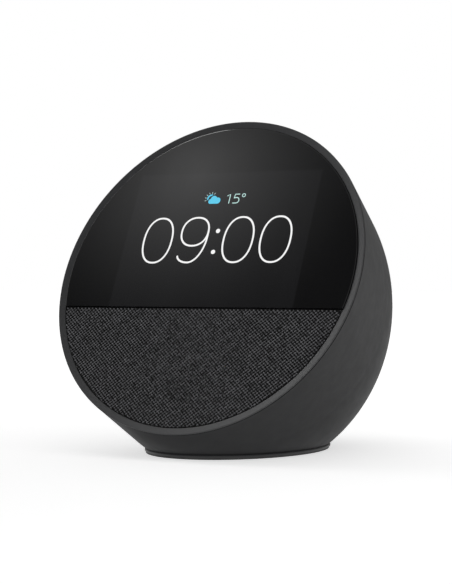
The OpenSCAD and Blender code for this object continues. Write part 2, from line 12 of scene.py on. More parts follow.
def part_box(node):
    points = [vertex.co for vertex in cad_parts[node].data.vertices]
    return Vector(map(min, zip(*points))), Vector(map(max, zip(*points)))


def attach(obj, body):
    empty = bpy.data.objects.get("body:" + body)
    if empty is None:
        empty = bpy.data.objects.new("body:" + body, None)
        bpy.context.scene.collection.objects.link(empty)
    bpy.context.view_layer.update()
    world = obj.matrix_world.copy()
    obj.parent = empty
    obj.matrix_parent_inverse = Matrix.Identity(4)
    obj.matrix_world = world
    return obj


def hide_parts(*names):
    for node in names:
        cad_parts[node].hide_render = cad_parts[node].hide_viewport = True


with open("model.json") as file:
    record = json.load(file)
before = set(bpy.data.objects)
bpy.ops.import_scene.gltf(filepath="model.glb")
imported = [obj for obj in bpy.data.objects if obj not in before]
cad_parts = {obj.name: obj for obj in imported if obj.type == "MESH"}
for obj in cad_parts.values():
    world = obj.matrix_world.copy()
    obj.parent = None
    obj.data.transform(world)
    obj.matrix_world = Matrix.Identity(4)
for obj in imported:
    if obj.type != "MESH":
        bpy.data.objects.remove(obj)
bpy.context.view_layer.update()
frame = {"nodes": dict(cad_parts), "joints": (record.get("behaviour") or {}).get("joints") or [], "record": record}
NODES = frame["nodes"]
JOINTS = {joint["name"]: joint for joint in frame["joints"]}
PORT_MOUNT = {mount["name"]: mount for mount in frame["record"]["mounts"]}["power_port"]
SLOTS = {material["slot"]: material for material in frame["record"]["materials"]}
SLOT_OF = {part["node"]: part["material_slot"] for part in frame["record"]["subparts"]}
MM = 0.001
TURN = 2 * math.pi

# --- Sizes as in the CAD source ---

EGG_HALF = Vector((48.3, 65.3, 57.6)) * MM
EGG_MID = Vector((0, 0, 48.3)) * MM
WALL = 2.2 * MM
LENS_GAP = 0.25 * MM
KEY_RISE = 0.4 * MM
KEY_GAP = 0.3 * MM
KEY_FLANGE = 0.9 * MM
TRIM_FRONT = 2.9 * MM


# --- Frames of the face, the keys and the power port ---

def span(node, axis):
    """Lowest and highest reach of a CAD node along a direction."""
    points = NODES[node].data.vertices
    flat = np.empty(len(points) * 3)
    points.foreach_get("co", flat)
    reach = flat.reshape(-1, 3) @ np.array(axis)
    return float(reach.min()), float(reach.max())


def axes(x, y, z, origin):
    """Frame with these axes, as a matrix from its own places to the object's."""
    return Matrix.Translation(origin) @ Matrix((x, y, z)).transposed().to_4x4()


ACROSS = Vector((1, 0, 0))
UP = Vector((0, 0, 1))
FACE_OUT = Vector(JOINTS["cone_travel"]["axis"]).normalized()
FACE_UP = FACE_OUT.cross(ACROSS)
FACE_O = FACE_UP * sum(span("front_ring", FACE_UP)) / 2 + FACE_OUT * span("display_lens", FACE_OUT)[1]
FACE = axes(ACROSS, FACE_UP, FACE_OUT, FACE_O)

KEY_OUT = -Vector(JOINTS["mute_press"]["axis"]).normalized()
KEY_SIDE = KEY_OUT.cross(ACROSS)
KEY_TOP = span("mute_button", KEY_OUT)[1] - KEY_RISE
KEYS = axes(ACROSS, KEY_SIDE, KEY_OUT, KEY_SIDE * sum(span("mute_button", KEY_SIDE)) / 2 + KEY_OUT * KEY_TOP)

PORT_OUT = Vector(PORT_MOUNT["axis"]).normalized()
PORT_BORE = PORT_MOUNT["dims"]["length_mm"] * MM
PORT_R = PORT_MOUNT["dims"]["r_mm"] * MM
PORT_O = Vector(PORT_MOUNT["pos_m"]) + PORT_OUT * (PORT_BORE / 2 + TRIM_FRONT)
PORT = axes(ACROSS, PORT_OUT.cross(ACROSS), PORT_OUT, PORT_O)

RING_R = span("front_ring", ACROSS)[1]
LENS_R = span("display_lens", ACROSS)[1]


def face_span(node, axis):
    """Lowest and highest reach of a CAD node from the face's centre, along one of its axes."""
    low, high = span(node, axis)
    return low - FACE_O.dot(axis), high - FACE_O.dot(axis)


SHELL_W = face_span("rear_shell", FACE_OUT)[1]
SKIRT_Z = span("rear_shell", UP)[0]
RING_BACK = face_span("front_ring", FACE_OUT)[0]
LENS_BACK = face_span("display_lens", FACE_OUT)[0]
LENS_LINE = face_span("display_lens", FACE_UP)[0]
CLOTH_LINE = face_span("grille_fabric", FACE_UP)[1]
CLOTH_W = face_span("grille_fabric", FACE_OUT)


# --- Mesh helpers: a form is a list of points and a list of faces ---

def shifted(forms):
    """Several forms as one."""
    points, faces = [], []
    for more, these in forms:
        faces += [[i + len(points) for i in face] for face in these]
        points += list(more)
    return points, faces


def linked(name, data):
    """A new object in the scene."""
    obj = bpy.data.objects.new(name, data)
    bpy.context.scene.collection.objects.link(obj)
    return obj


def turns_of(count):
    """Angles evenly round one turn."""
    return np.arange(count) * TURN / count


def polar(radius, angle, height=0):
    return Vector((radius * math.cos(angle), radius * math.sin(angle), height))


def solid(name, *forms, sharp=35):
    """One closed mesh object, smooth but for edges sharper than an angle."""
    points, faces = shifted(forms)
    mesh = bpy.data.meshes.new(name)
    mesh.from_pydata([tuple(point) for point in points], [], faces)
    bm = bmesh.new()
    bm.from_mesh(mesh)
    bmesh.ops.remove_doubles(bm, verts=bm.verts, dist=1e-7)
    bmesh.ops.recalc_face_normals(bm, faces=bm.faces)
    bm.to_mesh(mesh)
    bm.free()
    return shade(linked(name, mesh), sharp)


def shade(obj, sharp):
    obj.data.shade_smooth()
    obj.data.set_sharp_from_angle(angle=math.radians(sharp))
    return obj


def cut(obj, other):
    """Take one closed object out of another, and use it up."""
    modifier = obj.modifiers.new("cut", "BOOLEAN")
    modifier.operation = "DIFFERENCE"
    modifier.solver = "MANIFOLD"
    modifier.object = other
    graph = bpy.context.evaluated_depsgraph_get()
    made = bpy.data.meshes.new_from_object(obj.evaluated_get(graph))
    obj.modifiers.clear()
    obj.data = made
    bpy.data.objects.remove(other)


def rounded(corners, steps):
    """Closed outline through corners (x, y, radius), each corner turned into an arc."""
    outline = []
    for i, (x, y, radius) in enumerate(corners):
        corner = Vector((x, y))
        if radius == 0:
            outline.append(corner)
            continue
        before = (Vector(corners[i - 1][:2]) - corner).normalized()
        after = (Vector(corners[(i + 1) % len(corners)][:2]) - corner).normalized()
        half = before.angle(after) / 2
        centre = corner + (before + after).normalized() * radius / math.sin(half)
        start = corner + before * radius / math.tan(half) - centre
        end = corner + after * radius / math.tan(half) - centre
        for k in range(steps + 1):
            outline.append(centre + start.lerp(end, k / steps).normalized() * radius)
    return outline


def lathe(outline, place, turns):
    """Closed outline of (radius, height) turned about the z axis of a frame."""
    count = len(outline)
    points = [place @ polar(r, a, h) for a in turns_of(turns) for r, h in outline]
    faces = []
    for k in range(turns):
        here, there = k * count, (k + 1) % turns * count
        for i in range(count):
            j = (i + 1) % count
            if outline[i][0] + outline[j][0] > 0:
                faces.append([here + i, there + i, there + j, here + j])
    return points, faces


def loft(rows, caps=True):
    """Closed rows of points joined by quads, with the first and the last row filled."""
    count = len(rows[0])
    points = [point for row in rows for point in row]
    last = (len(rows) - 1) * count
    faces = []
    for here in range(0, last, count):
        for i in range(count):
            j = (i + 1) % count
            faces.append([here + i, here + j, here + count + j, here + count + i])
    if caps:
        faces += [list(range(count))[::-1], [last + i for i in range(count)]]
    return points, faces


def rod(place, at, radius, low, high, turns=48):
    """Cylinder along the z axis of a frame."""
    centre = place @ Matrix.Translation((*at, 0))
    circle = [polar(radius, a) for a in turns_of(turns)]
    return loft([[centre @ (p + UP * h) for p in circle] for h in (low, high)])


def block(place, low, high):
    """Box between two corners of a frame."""
    square = ((low[0], low[1]), (high[0], low[1]), (high[0], high[1]), (low[0], high[1]))
    return loft([[place @ Vector((*corner, h)) for corner in square] for h in (low[2], high[2])])


def stroke(centres, width, closed=False):
    """Round-ended stroke along a plane line, as rows of its left and right points."""
    line = [Vector(point) for point in centres]
    count = len(line)
    rows = []
    for i, point in enumerate(line):
        before = line[i - 1] if closed or i > 0 else point
        after = line[(i + 1) % count] if closed or i < count - 1 else point
        along = (after - before).normalized()
        rows.append((point, along, width / 2))
    if not closed:
        (start, ahead, _), (end, onward, _) = rows[0], rows[-1]
        for angle in np.radians((20, 40, 60, 82)):
            reach, half = width / 2 * math.sin(angle), width / 2 * math.cos(angle)
            rows.insert(0, (start - ahead * reach, ahead, half))
            rows.append((end + onward * reach, onward, half))
    return [(p + Vector((-d.y, d.x)) * w, p - Vector((-d.y, d.x)) * w) for p, d, w in rows]


def ribbon(rows, place, low, high, closed=False):
    """Thin solid over a stroke's rows; place(x, y, lift) gives each point."""
    sections = [
        [place(*left, high), place(*right, high), place(*right, low), place(*left, low)]
        for left, right in rows
    ]
    points, faces = loft(sections, caps=not closed)
    if closed:
        last = (len(sections) - 1) * 4
        faces += [[last + i, last + (i + 1) % 4, (i + 1) % 4, i] for i in range(4)]
    return points, faces


def arc(centre, half, start, end, steps=24, power=2.0):
    """Points on an ellipse, or on a squarer oval for a power above 2, between two angles in degrees."""
    points = []
    for angle in np.radians(np.linspace(start, end, steps + 1)):
        c, s = math.cos(angle), math.sin(angle)
        x = math.copysign(abs(c) ** (2 / power), c) * half[0]
        y = math.copysign(abs(s) ** (2 / power), s) * half[1]
        points.append((centre[0] + x, centre[1] + y))
    return points


# --- Procedural materials ---

def add_node(tree, kind, inputs=None, **settings):
    """A new node, each input linked to a socket or set to a value."""
    node = tree.nodes.new(kind)
    for name, value in settings.items():
        setattr(node, name, value)
    for name, value in (inputs or {}).items():
        if isinstance(value, bpy.types.NodeSocket):
            tree.links.new(value, node.inputs[name])
        else:
            node.inputs[name].default_value = value
    return node


class Finish:
    """One slot's material, with its textures placed on the object itself."""

    def __init__(self, slot, roughness, name=None, **sockets):
        self.slot = slot
        self.material = bpy.data.materials.new(name or slot)
        self.material.use_nodes = True
        self.tree = self.material.node_tree
        self.shader = self.tree.nodes["Principled BSDF"]
        self.place = self.add("ShaderNodeTexCoord").outputs["Object"]
        self.colour = [channel * SLOT_SHADE.get(slot, 1) for channel in SLOTS[slot]["base_color"]]
        self.shader.inputs["Roughness"].default_value = roughness
        for socket, value in sockets.items():
            self.shader.inputs[socket.replace("_", " ")].default_value = value

    def add(self, kind, inputs=None, **settings):
        return add_node(self.tree, kind, inputs, **settings)

    def link(self, output, socket):
        self.tree.links.new(output, self.shader.inputs[socket])

    def stretched(self, scale):
        """The texture place with each axis scaled, for grain that runs one way."""
        return self.add("ShaderNodeMapping", {"Vector": self.place, "Scale": scale}).outputs[0]

    def noise(self, size, detail=3.0, roughness=0.55, place=None):
        """Soft random pattern whose features are about this size in metres."""
        inputs = {"Vector": place or self.place, "Scale": 1 / size, "Detail": detail, "Roughness": roughness}
        return self.add("ShaderNodeTexNoise", inputs).outputs[0]

    def cells(self, size, feature="F1"):
        inputs = {"Vector": self.place, "Scale": 1 / size}
        return self.add("ShaderNodeTexVoronoi", inputs, feature=feature).outputs["Distance"]

    def bands(self, size, direction, distortion=0.0):
        inputs = {"Vector": self.place, "Scale": 0.05 / size * TURN / 2, "Distortion": distortion}
        return self.add("ShaderNodeTexWave", inputs, bands_direction=direction).outputs["Fac"]

    def math(self, operation, a, b):
        return self.add("ShaderNodeMath", {0: a, 1: b}, operation=operation).outputs[0]

    def spread(self, value, low, high, start=0.3, end=0.7):
        """A pattern's usual range, from start to end, spread over low to high."""
        inputs = {"Value": value, "From Min": start, "From Max": end, "To Min": low, "To Max": high}
        return self.add("ShaderNodeMapRange", inputs).outputs["Result"]

    def ramp(self, value, *stops):
        """Colour picked along (position, colour) stops."""
        node = self.add("ShaderNodeValToRGB", {"Fac": value})
        marks = node.color_ramp.elements
        while len(marks) < len(stops):
            marks.new(0.5)
        for mark, (position, colour) in zip(marks, stops):
            mark.position = position
            mark.color = (*colour[:3], 1)
        return node.outputs["Color"]

    def mix(self, share, a, b):
        return self.add("ShaderNodeMixRGB", {"Fac": share, "Color1": a, "Color2": b}).outputs["Color"]

    def tint(self, gain):
        """The slot's colour made lighter or darker."""
        return [*(channel * gain for channel in self.colour), 1]

    def shades(self, pattern, low, high, start=0.3, end=0.7):
        """The slot's colour, darkened and lightened by a pattern."""
        return self.ramp(pattern, (start, self.tint(low)), (end, self.tint(high)))

    def worn(self, colour, gain, start=0.52, end=0.6):
        """The colour made lighter along outer edges, as handling wears it."""
        point = self.add("ShaderNodeNewGeometry").outputs["Pointiness"]
        share = self.math("MULTIPLY", self.spread(point, 0, 1, start, end), self.noise(3 * MM))
        return self.mix(share, colour, self.tint(gain))

    def bump(self, *layers):
        """Relief from (pattern, depth) layers, finest last."""
        normal = None
        for pattern, depth in layers:
            inputs = {"Height": pattern, "Distance": depth, "Strength": 1.0}
            if normal:
                inputs["Normal"] = normal
            normal = self.add("ShaderNodeBump", inputs).outputs["Normal"]
        self.link(normal, "Normal")


def moulded(slot, roughness, grain=0.3, depth=0.012, wear=1.7, printed=None, **sockets):
    """Spark-eroded plastic: fine pitted grain, faint clouding, lighter edges, any printed marks."""
    finish = Finish(slot, roughness, **sockets)
    cloud = finish.noise(26 * MM, 2)
    fleck = finish.noise(0.35 * MM, 2)
    both = finish.math("ADD", finish.math("MULTIPLY", cloud, 0.25), finish.math("MULTIPLY", fleck, 0.75))
    colour = finish.worn(finish.shades(both, 0.93, 1.07, 0.36, 0.64), wear)
    if printed:
        mark = finish.add("ShaderNodeAttribute", attribute_name="mark").outputs["Fac"]
        colour = finish.mix(mark, colour, finish.tint(printed))
    finish.link(colour, "Base Color")
    finish.link(finish.spread(finish.noise(4 * MM, 4), roughness - 0.03, roughness + 0.03), "Roughness")
    finish.bump((finish.noise(9 * MM, 2), depth * 0.5 * MM), (finish.cells(grain * MM), depth * MM))
    return finish


def rubber(slot, roughness, pore, depth):
    """Matt rubber or foam: round pores, dusty patches."""
    finish = Finish(slot, roughness)
    dust = finish.noise(5 * MM, 5)
    finish.link(finish.shades(dust, 0.75, 1.35), "Base Color")
    finish.link(finish.spread(finish.noise(2 * MM), roughness - 0.08, min(1, roughness + 0.08)), "Roughness")
    finish.bump((finish.cells(pore * MM), depth * MM), (finish.noise(0.12 * MM), depth * 0.4 * MM))
    return finish


def metal(slot, roughness, stretch=(1, 1, 1), grain=0.15, depth=0.004, spots=0.85):
    """Metal with a drawn or blasted grain and uneven tarnish."""
    finish = Finish(slot, roughness, Metallic=1.0)
    line = finish.noise(grain * MM, 4, place=finish.stretched(stretch))
    tarnish = finish.noise(4 * MM, 5)
    finish.link(finish.worn(finish.shades(tarnish, spots, 1.05), 1.15), "Base Color")
    scratched = finish.spread(line, -0.07, 0.07)
    dulled = finish.spread(tarnish, roughness, roughness + 0.1)
    finish.link(finish.math("ADD", scratched, dulled), "Roughness")
    finish.bump((tarnish, depth * MM), (line, depth * MM))
    return finish


def woven(slot, pitch):
    """Treated cloth or felted paper: two crossing thread bands and loose fibres."""
    finish = Finish(slot, 0.85)
    warp = finish.bands(pitch * MM, "X", 0.6)
    weft = finish.bands(pitch * MM, "Y", 0.6)
    cross = finish.math("MULTIPLY", warp, weft)
    fibre = finish.noise(0.2 * MM, 6, 0.7, finish.stretched((1, 5, 1)))
    thread = finish.shades(cross, 0.6, 1.3, 0.1, 0.9)
    finish.link(finish.mix(0.4, thread, finish.shades(fibre, 0.7, 1.3)), "Base Color")
    finish.bump((cross, 0.06 * MM), (fibre, 0.02 * MM))
    return finish


def yarn(slot):
    """Charcoal speaker yarn: fine filaments along each thread, uneven dye, and painted light on the thread crowns
    with painted shade where threads dip under.
    """
    finish = Finish(slot, 0.8, Sheen_Weight=0.05, Sheen_Roughness=0.5, Specular_IOR_Level=0.2)
    along = finish.add("ShaderNodeUVMap", uv_map="thread").outputs["UV"]
    # The tone attribute: each thread's dye, plus painted light on its crowns and painted shade where it dips
    # under.
    tone = finish.add("ShaderNodeAttribute", attribute_name="tone").outputs["Fac"]
    place = finish.add("ShaderNodeMapping", {"Vector": along, "Scale": (0.35, 9, 1)}).outputs[0]
    filament = finish.noise(0.4, 3, 0.6, place)
    both = finish.math("ADD", finish.math("MULTIPLY", filament, 0.3), finish.math("MULTIPLY", tone, 0.7))
    finish.link(finish.shades(both, 0.02, 6.2, 0.25, 1.0), "Base Color")
    finish.link(finish.spread(filament, 0.7, 0.9), "Roughness")
    finish.bump((filament, 0.03 * MM))
    return finish


def cover_glass():
    """Black-backed glass: the screen's active area shows a touch lighter, with faint smears."""
    finish = Finish("lens_glass", GLASS_ROUGH, IOR=1.5)
    plane = finish.add("ShaderNodeUVMap", uv_map="face").outputs["UV"]
    axis = finish.add("ShaderNodeSeparateXYZ", {0: plane})
    high = face_span("lcd_panel", FACE_UP)[1]
    half = span("lcd_panel", ACROSS)[1] - SCREEN_EDGE
    top = high - SCREEN_EDGE
    soft = 0.3 * MM
    across = finish.spread(finish.math("ABSOLUTE", axis.outputs[0], 0.0), 1, 0, half, half + soft)
    above = finish.spread(axis.outputs[1], 1, 0, top, top + soft)
    active = finish.math("MULTIPLY", across, above)
    smear = finish.noise(18 * MM, 3, place=finish.stretched((1, 0.5, 0.5)))
    finish.link(finish.mix(active, finish.tint(0.2), finish.shades(smear, 0.42, 0.52)), "Base Color")
    finish.link(finish.spread(smear, GLASS_ROUGH - 0.02, GLASS_ROUGH + 0.03), "Roughness")
    finish.bump((finish.noise(60 * MM, 1), 0.004 * MM))
    return finish


def lit(name, colour):
    """A lit part of the screen's picture, with the panel's fine pixel grid."""
    finish = Finish("lcd_glass", 0.3, name, Emission_Strength=1.0)
    pixel = 0.1 * MM
    dots = finish.math("MULTIPLY", finish.bands(pixel, "X"), finish.bands(pixel, "Z"))
    between = [channel * 0.86 for channel in colour]
    unlit = [channel * 0.1 for channel in colour]
    finish.link(finish.ramp(dots, (0.0, between), (0.5, colour)), "Emission Color")
    finish.link(finish.ramp(dots, (0.0, (0, 0, 0)), (0.5, unlit)), "Base Color")
    return finish.material


def liquid_crystal(slot):
    """Screen module: dark polariser film over a fine grid of cells."""
    finish = Finish(slot, 0.2, IOR=1.5)
    grid = finish.math("MAXIMUM", finish.bands(0.2 * MM, "X"), finish.bands(0.2 * MM, "Z"))
    finish.link(finish.shades(grid, 0.6, 1.6, 0.2, 0.9), "Base Color")
    finish.link(finish.spread(finish.noise(10 * MM), 0.15, 0.25), "Roughness")
    finish.bump((grid, 0.004 * MM))
    return finish


def board(slot):
    """Circuit board: solder mask over copper tracks, with pads and a glass weave."""
    finish = Finish(slot, 0.4, Coat_Weight=0.3)
    track = finish.cells(2.2 * MM, "DISTANCE_TO_EDGE")
    pad = finish.cells(3.1 * MM)
    mask = finish.shades(track, 1.9, 0.9, 0.03, 0.08)
    gold = SLOTS["copper_wire"]["base_color"]
    finish.link(finish.mix(finish.spread(pad, 1, 0, 0.12, 0.14), mask, [*gold, 1]), "Base Color")
    weave = finish.math("MULTIPLY", finish.bands(0.5 * MM, "X", 0.3), finish.bands(0.5 * MM, "Y", 0.3))
    finish.link(finish.spread(weave, 0.35, 0.5), "Roughness")
    finish.bump((weave, 0.01 * MM), (finish.spread(track, 1, 0, 0.03, 0.08), 0.03 * MM))
    return finish


def film(slot):
    """Polyimide film with parallel copper tracks."""
    finish = Finish(slot, 0.35, Coat_Weight=0.2)
    track = finish.bands(0.5 * MM, "X")
    finish.link(finish.shades(track, 0.7, 1.3, 0.45, 0.55), "Base Color")
    finish.link(finish.spread(finish.noise(3 * MM), 0.3, 0.45), "Roughness")
    finish.bump((track, 0.02 * MM), (finish.noise(4 * MM), 0.05 * MM))
    return finish


# A finish's colour as a share of the record's colour, so that it matches under this studio's light
SLOT_SHADE = {
    "housing_plastic": 0.2,
    "bezel_plastic": 0.42,
    "button_plastic": 0.28,
    "base_plastic": 0.34,
    "speaker_cloth": 0.247,
}
SCREEN_EDGE = 0.9 * MM
GLASS_ROUGH = 0.1
PALE_BLUE = (0.11, 0.62, 0.87)
PALE_RAY = (0.52, 0.7, 0.7)
PALE_MINT = (0.6, 0.9, 0.86)
WHITE = (1.0, 1.0, 1.0)

FINISHES = {finish.slot: finish.material for finish in (
    moulded("housing_plastic", 0.6, 0.35, 0.01, Specular_IOR_Level=0.2),
    moulded("bezel_plastic", 0.42, 0.25, 0.004, Specular_IOR_Level=0.4),
    moulded("base_plastic", 0.45, 0.4, 0.01, Specular_IOR_Level=0.35),
    moulded("button_plastic", 0.55, 0.3, 0.008, printed=9, Specular_IOR_Level=0.2),
    moulded("inner_plastic", 0.6, 0.6, 0.02, 1.4),
    moulded("grille_plastic", 0.8, 0.6, 0.02, 1.2, Specular_IOR_Level=0.1),
    moulded("switch_plastic", 0.3, 0.5, 0.008, 1.3),
    moulded("connector_plastic", 0.35, 0.6, 0.01, 1.1),
    cover_glass(),
    liquid_crystal("lcd_glass"),
    moulded("backlight_film", 0.4, 0.8, 0.02, 1.05),
    rubber("adhesive", 0.7, 0.8, 0.05),
    rubber("foam", 0.95, 0.4, 0.15),
    rubber("rubber_black", 0.6, 0.3, 0.015),
    rubber("lead_rubber", 0.5, 0.6, 0.02),
    rubber("foot_rubber", 0.75, 0.5, 0.05),
    rubber("thermal_silicone", 0.65, 0.9, 0.04),
    yarn("speaker_cloth"),
    woven("spider_cloth", 0.4),
    woven("cone_paper", 0.9),
    film("flex_film"),
    board("circuit_board"),
    metal("stamped_steel", 0.32, (1, 12, 12)),
    metal("screw_steel", 0.3, (1, 1, 6)),
    metal("weight_iron", 0.6, grain=0.8, depth=0.05, spots=0.6),
    metal("magnet", 0.5, grain=0.5, depth=0.02, spots=0.7),
    metal("heat_sink_aluminium", 0.4, (14, 1, 1)),
    metal("brass_can", 0.3, (1, 1, 8)),
    metal("copper_wire", 0.35, (1, 20, 20)),
)}


def place_piece(obj, body, node):
    """The piece rides on a body, takes its CAD node's finish and stands for that node."""
    slot = SLOT_OF[node]
    obj.data.materials.clear()
    obj.data.materials.append(FINISHES[slot])
    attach(obj, body)
    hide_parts(node)
    return obj


# --- Housing ---

ROWS = 96
COLUMNS = 288
EGG_STEPS = (120, 240)
RULINGS = 1152
EASE_DEPTH = 7 * MM
GRID_EYE = Vector((0, 0, -30 * MM))
FRONT_SKIN = 0.02 * MM
EGG_SNAP = 0.001


def to_ball(way):
    """A direction in the space where the egg is a ball of radius 1."""
    return Vector([way[i] / EGG_HALF[i] for i in range(3)])


def to_egg(way):
    """A direction from that space back to the egg's own."""
    return Vector([way[i] * EGG_HALF[i] for i in range(3)])


def egg_hit(origin, direction):
    """Where a ray from inside the egg leaves it."""
    a = to_ball(direction)
    b = to_ball(origin - EGG_MID)
    half = a.dot(b)
    reach = (math.sqrt(half * half - a.dot(a) * (b.dot(b) - 1)) - half) / a.dot(a)
    return origin + direction * reach


def on_shell(point):
    """Whether a point of the egg is behind the face and above the skirt."""
    return point.z > SKIRT_Z and (point - FACE_O).dot(FACE_OUT) < SHELL_W


def touch_point(edge, along):
    """Where a plane through a tangent of the face disc's edge touches the egg behind the face."""
    place = to_ball(edge - EGG_MID)
    line = to_ball(along).normalized()
    foot = place - line * place.dot(line)
    if foot.length < 1.0001:
        return None
    side = line.cross(foot.normalized()) * math.sqrt(1 - 1 / foot.length ** 2)
    touches = []
    for way in (foot / foot.length ** 2 + side, foot / foot.length ** 2 - side):
        touch = EGG_MID + to_egg(way)
        if on_shell(touch):
            touches.append(touch)
    return touches[0] if len(touches) == 1 else None


def outer_form():
    """The housing's convex outer form: the egg and the face's disc, with its skirt run on below."""
    points = []
    lat, lon = EGG_STEPS
    for i in range(1, lat):
        for k in range(lon):
            tilt, turn = math.pi * i / lat, TURN * k / lon
            point = EGG_MID + to_egg(polar(math.sin(tilt), turn, math.cos(tilt)))
            if on_shell(point):
                points.append(point)
    low = math.sqrt(1 - ((SKIRT_Z - EGG_MID.z) / EGG_HALF.z) ** 2)
    skirt = Vector((EGG_HALF.x * low, EGG_HALF.y * low, 0))
    drop = 4 * MM
    tuck = Vector((1.35, 1.8, 0)) * drop
    for turn in turns_of(lon):
        c, s = math.cos(turn), math.sin(turn)
        points.append(Vector((skirt.x * c, skirt.y * s, SKIRT_Z)))
        points.append(Vector(((skirt.x - tuck.x) * c, (skirt.y - tuck.y) * s, SKIRT_Z - drop)))
        points.append(egg_hit(FACE @ Vector((0, 0, SHELL_W)), FACE.to_3x3() @ polar(1, turn)))
    for turn in turns_of(RULINGS):
        edge = FACE @ polar(RING_R, turn, SHELL_W)
        touch = touch_point(edge, FACE.to_3x3() @ Vector((-math.sin(turn), math.cos(turn), 0)))
        points += [edge, touch] if touch else [edge]
    bm = bmesh.new()
    for point in points:
        bm.verts.new(point)
    bmesh.ops.convex_hull(bm, input=bm.verts)
    tree = BVHTree.FromBMesh(bm)
    bm.free()
    return tree


def shell_grid():
    """Rows of points from the front rim round to the power port, and their outward normals."""
    tree = outer_form()
    centre = FACE @ GRID_EYE
    pole = (PORT.translation - centre).normalized()
    to_face = FACE.inverted()

    def drawn_in(point, excess):
        """A point brought in towards the ring's edge, less and less further back."""
        at = to_face @ point
        share = min(max((SHELL_W - at.z) / EASE_DEPTH, 0), 1)
        radius = at.xy.length
        scale = 1 - excess * (1 - share) ** 2 / radius if radius else 1
        return FACE @ Vector((at.x * scale, at.y * scale, at.z))

    front = FACE @ Vector((0, 0, SHELL_W - FRONT_SKIN))
    rows = np.zeros((ROWS + 1, COLUMNS, 3))
    for k, turn in enumerate(turns_of(COLUMNS)):
        outward = FACE.to_3x3() @ polar(1, turn)
        rim = tree.ray_cast(front, outward)[0] + FACE_OUT * FRONT_SKIN
        excess = max(0, (to_face @ rim).xy.length - RING_R)
        rows[0, k] = drawn_in(rim, excess)
        first = (rim - centre).normalized()
        sweep = first.angle(pole)
        for i in range(1, ROWS + 1):
            t = i / ROWS
            ray = (first * math.sin((1 - t) * sweep) + pole * math.sin(t * sweep)) / math.sin(sweep)
            hit = tree.ray_cast(centre, ray)[0]
            ratio = to_ball(hit - EGG_MID).length
            if abs(ratio - 1) < EGG_SNAP:
                hit = EGG_MID + (hit - EGG_MID) / ratio
            rows[i, k] = drawn_in(hit, excess)
    down = np.gradient(rows, axis=0)
    round_ = np.roll(rows, -1, axis=1) - np.roll(rows, 1, axis=1)
    normals = np.cross(down, round_)
    normals[-1] = np.array(pole)
    normals /= np.linalg.norm(normals, axis=2, keepdims=True)
    half = ROWS // 2
    if (normals[half, 0] * (rows[half, 0] - np.array(centre))).sum() < 0:
        normals[:-1] *= -1
    return rows, normals


def body_solid(name, grid, inset, floor, rise):
    """Closed solid of the housing's form, shrunk by an inset and cut flat at the floor."""
    rows, normals = grid
    inner = rows - normals * inset
    front = inner[0] + np.array(FACE_OUT) * rise
    layers = ([front] if rise else []) + list(inner[:-1])
    points, faces = loft([[Vector(p) for p in layer] for layer in layers], caps=False)
    faces.append(list(range(COLUMNS)))
    last = (len(layers) - 1) * COLUMNS
    points.append(Vector(inner[-1].mean(axis=0)))
    faces += [[last + k, last + (k + 1) % COLUMNS, len(points) - 1] for k in range(COLUMNS)]
    obj = solid(name, (points, faces))
    bm = bmesh.new()
    bm.from_mesh(obj.data)
    geometry = bm.verts[:] + bm.edges[:] + bm.faces[:]
    bmesh.ops.bisect_plane(bm, geom=geometry, plane_co=(0, 0, floor), plane_no=-UP, clear_outer=True)
    bmesh.ops.holes_fill(bm, edges=[edge for edge in bm.edges if edge.is_boundary], sides=0)
    bmesh.ops.recalc_face_normals(bm, faces=bm.faces)
    bm.to_mesh(obj.data)
    bm.free()
    return obj


GROUND = Matrix.Identity(4)
BOSS_R = 3.2 * MM
PILOT_R = 0.9 * MM
RIB_HALF = 0.9 * MM
RIB_REACH = 20 * MM
BAFFLE_BOSS_R = 46 * MM
BAFFLE_BOSSES = (22, 158, -35, -145)
BAFFLE_BACK = -8.4 * MM
BOSS_DEEP = -24 * MM
BASE_POSTS = [Vector((x, y)) * MM for x in (-16.5, 16.5) for y in (-19, 19)]
PLUG_TOP = 3 * MM
POST_TOP = 8.4 * MM
KEY_PITCH = 15.5 * MM
KEY_R = span("mute_button", ACROSS)[1] - KEY_FLANGE
KEY_HOLE_DEEP = -12 * MM
KEY_POSTS = (-24 * MM, 24 * MM)
KEY_POST_R = 2.6 * MM
SWITCH_BASE = -15 * MM
MIC_HOLES = (-7.75 * MM, 7.75 * MM)
MIC_HOLE_R = 0.6 * MM
PORT_BOSS_R = 10 * MM
PORT_BOSS_DEEP = -17 * MM
POCKET_R = 8 * MM
POCKET_DEEP = -TRIM_FRONT - 0.7 * MM
BARREL_R = PORT_R + 1.55 * MM
COLLAR_R = 7.6 * MM
CLEAR = 8 * MM
SEAT_GAP = 0.15 * MM
SKIRT_R = 54.7 * MM
SKIRT_STEP = -1.3 * MM
SKIRT_TAIL_R = 53.8 * MM


